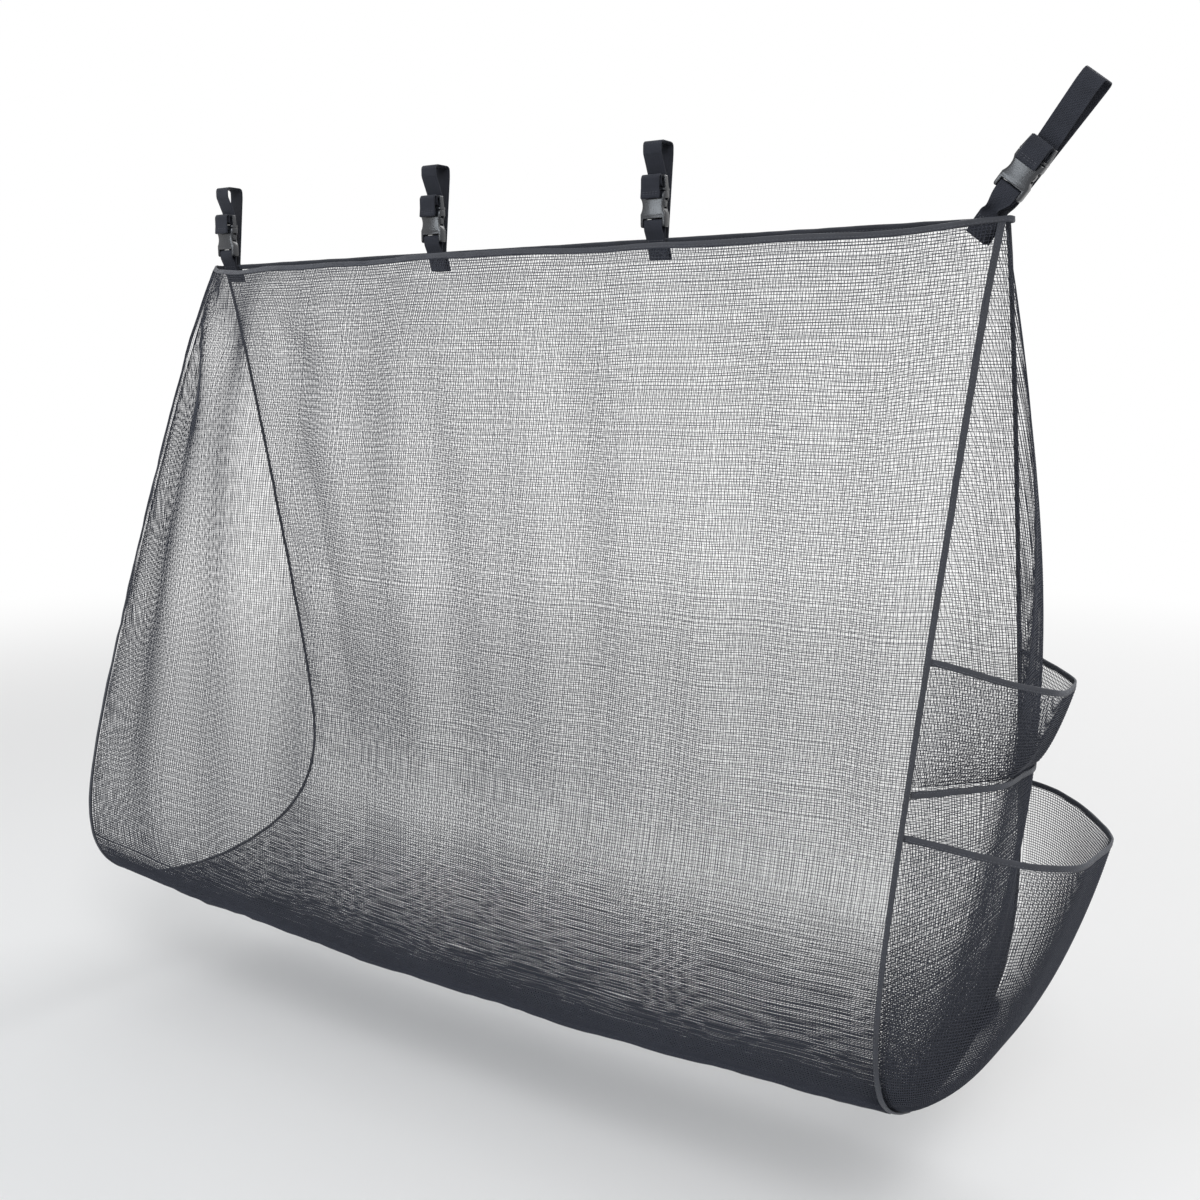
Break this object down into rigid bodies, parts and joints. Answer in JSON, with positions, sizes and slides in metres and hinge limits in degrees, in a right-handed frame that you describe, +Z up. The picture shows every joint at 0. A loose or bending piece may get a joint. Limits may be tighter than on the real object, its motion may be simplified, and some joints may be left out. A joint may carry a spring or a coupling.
{
  "type": "hanging mesh storage bag",
  "caption": "Large open-top mesh bag with two pockets on one end, bound seams and buckled webbing straps that hang it from a rail and unclip to take it down.",
  "frame": {"origin": "on the top of the rail the straps hang on, midway along the bag's back hem", "axes": "+X along the bag towards the end with the pockets, -Y to the front, +Z up"},
  "size_m": [1.3755, 0.4509, 1.0574],
  "materials": {
    "mesh_cloth": "open knitted polyester mesh, charcoal",
    "binding_tape": "woven binding tape, black, slight sheen",
    "webbing": "woven polyester webbing, black",
    "buckle_plastic": "moulded, semi-gloss black"
  },
  "bodies": {
    "bag": {"front_panel": "mesh_cloth", "back_panel": "mesh_cloth", "left_end_panel": "mesh_cloth", "right_end_panel": "mesh_cloth", "front_hem_binding": "binding_tape", "back_hem_binding": "binding_tape", "base_seam_binding": "binding_tape", "left_end_binding": "binding_tape", "right_end_binding": "binding_tape", "upper_pocket": "mesh_cloth", "upper_pocket_hem": "binding_tape", "upper_pocket_seam": "binding_tape", "lower_pocket": "mesh_cloth", "lower_pocket_hem": "binding_tape", "buckle_1_socket": "buckle_plastic", "strap_1_tab": "webbing", "strap_1_loop": "webbing", "strap_1_front_run": "webbing", "buckle_2_socket": "buckle_plastic", "strap_2_tab": "webbing", "strap_2_loop": "webbing", "strap_2_front_run": "webbing", "buckle_3_socket": "buckle_plastic", "strap_3_tab": "webbing", "strap_3_loop": "webbing", "strap_3_front_run": "webbing", "buckle_4_socket": "buckle_plastic", "strap_4_tab": "webbing", "strap_4_loop": "webbing", "strap_4_front_run": "webbing"},
    "plug_1": {"buckle_1_plug": "buckle_plastic", "strap_1_tail": "webbing"},
    "prong_left_1": {"buckle_1_prong_left": "buckle_plastic"},
    "prong_right_1": {"buckle_1_prong_right": "buckle_plastic"},
    "plug_2": {"buckle_2_plug": "buckle_plastic", "strap_2_tail": "webbing"},
    "prong_left_2": {"buckle_2_prong_left": "buckle_plastic"},
    "prong_right_2": {"buckle_2_prong_right": "buckle_plastic"},
    "plug_3": {"buckle_3_plug": "buckle_plastic", "strap_3_tail": "webbing"},
    "prong_left_3": {"buckle_3_prong_left": "buckle_plastic"},
    "prong_right_3": {"buckle_3_prong_right": "buckle_plastic"},
    "plug_4": {"buckle_4_plug": "buckle_plastic", "strap_4_tail": "webbing"},
    "prong_left_4": {"buckle_4_prong_left": "buckle_plastic"},
    "prong_right_4": {"buckle_4_prong_right": "buckle_plastic"}
  },
  "joints": [
    {"name": "release_1", "type": "slide", "parent": "bag", "child": "plug_1", "axis": [0, 0, 1], "range_m": [0, 0.021], "deforming": ["strap_1_front_run", "buckle_1_prong_left", "buckle_1_prong_right"]},
    {"name": "squeeze_left_1", "type": "hinge", "parent": "plug_1", "child": "prong_left_1", "pos_m": [-0.5746, -0.007, -0.05455], "axis": [0, -1, 0], "range_deg": [0, 10], "stiffness_Nm_per_rad": 0.05},
    {"name": "squeeze_right_1", "type": "hinge", "parent": "plug_1", "child": "prong_right_1", "pos_m": [-0.5574, -0.007, -0.05455], "axis": [0, 1, 0], "range_deg": [0, 10], "stiffness_Nm_per_rad": 0.05},
    {"name": "release_2", "type": "slide", "parent": "bag", "child": "plug_2", "axis": [0, 0, 1], "range_m": [0, 0.021], "deforming": ["strap_2_front_run", "buckle_2_prong_left", "buckle_2_prong_right"]},
    {"name": "squeeze_left_2", "type": "hinge", "parent": "plug_2", "child": "prong_left_2", "pos_m": [-0.1786, -0.007, -0.05455], "axis": [0, -1, 0], "range_deg": [0, 10], "stiffness_Nm_per_rad": 0.05},
    {"name": "squeeze_right_2", "type": "hinge", "parent": "plug_2", "child": "prong_right_2", "pos_m": [-0.1614, -0.007, -0.05455], "axis": [0, 1, 0], "range_deg": [0, 10], "stiffness_Nm_per_rad": 0.05},
    {"name": "release_3", "type": "slide", "parent": "bag", "child": "plug_3", "axis": [0, 0, 1], "range_m": [0, 0.021], "deforming": ["strap_3_front_run", "buckle_3_prong_left", "buckle_3_prong_right"]},
    {"name": "squeeze_left_3", "type": "hinge", "parent": "plug_3", "child": "prong_left_3", "pos_m": [0.1614, -0.007, -0.05455], "axis": [0, -1, 0], "range_deg": [0, 10], "stiffness_Nm_per_rad": 0.05},
    {"name": "squeeze_right_3", "type": "hinge", "parent": "plug_3", "child": "prong_right_3", "pos_m": [0.1786, -0.007, -0.05455], "axis": [0, 1, 0], "range_deg": [0, 10], "stiffness_Nm_per_rad": 0.05},
    {"name": "release_4", "type": "slide", "parent": "bag", "child": "plug_4", "axis": [0.6157, 0, 0.788], "range_m": [0, 0.021], "deforming": ["strap_4_front_run", "buckle_4_prong_left", "buckle_4_prong_right"]},
    {"name": "squeeze_left_4", "type": "hinge", "parent": "plug_4", "child": "prong_left_4", "pos_m": [0.60198, -0.007, -0.04798], "axis": [0, -1, 0], "range_deg": [0, 10], "stiffness_Nm_per_rad": 0.05},
    {"name": "squeeze_right_4", "type": "hinge", "parent": "plug_4", "child": "prong_right_4", "pos_m": [0.61554, -0.007, -0.05857], "axis": [0, 1, 0], "range_deg": [0, 10], "stiffness_Nm_per_rad": 0.05}
  ],
  "couplings": [
    {"joint": "squeeze_right_1", "follows": "squeeze_left_1", "ratio": 1},
    {"joint": "squeeze_right_2", "follows": "squeeze_left_2", "ratio": 1},
    {"joint": "squeeze_right_3", "follows": "squeeze_left_3", "ratio": 1},
    {"joint": "squeeze_right_4", "follows": "squeeze_left_4", "ratio": 1}
  ]
}
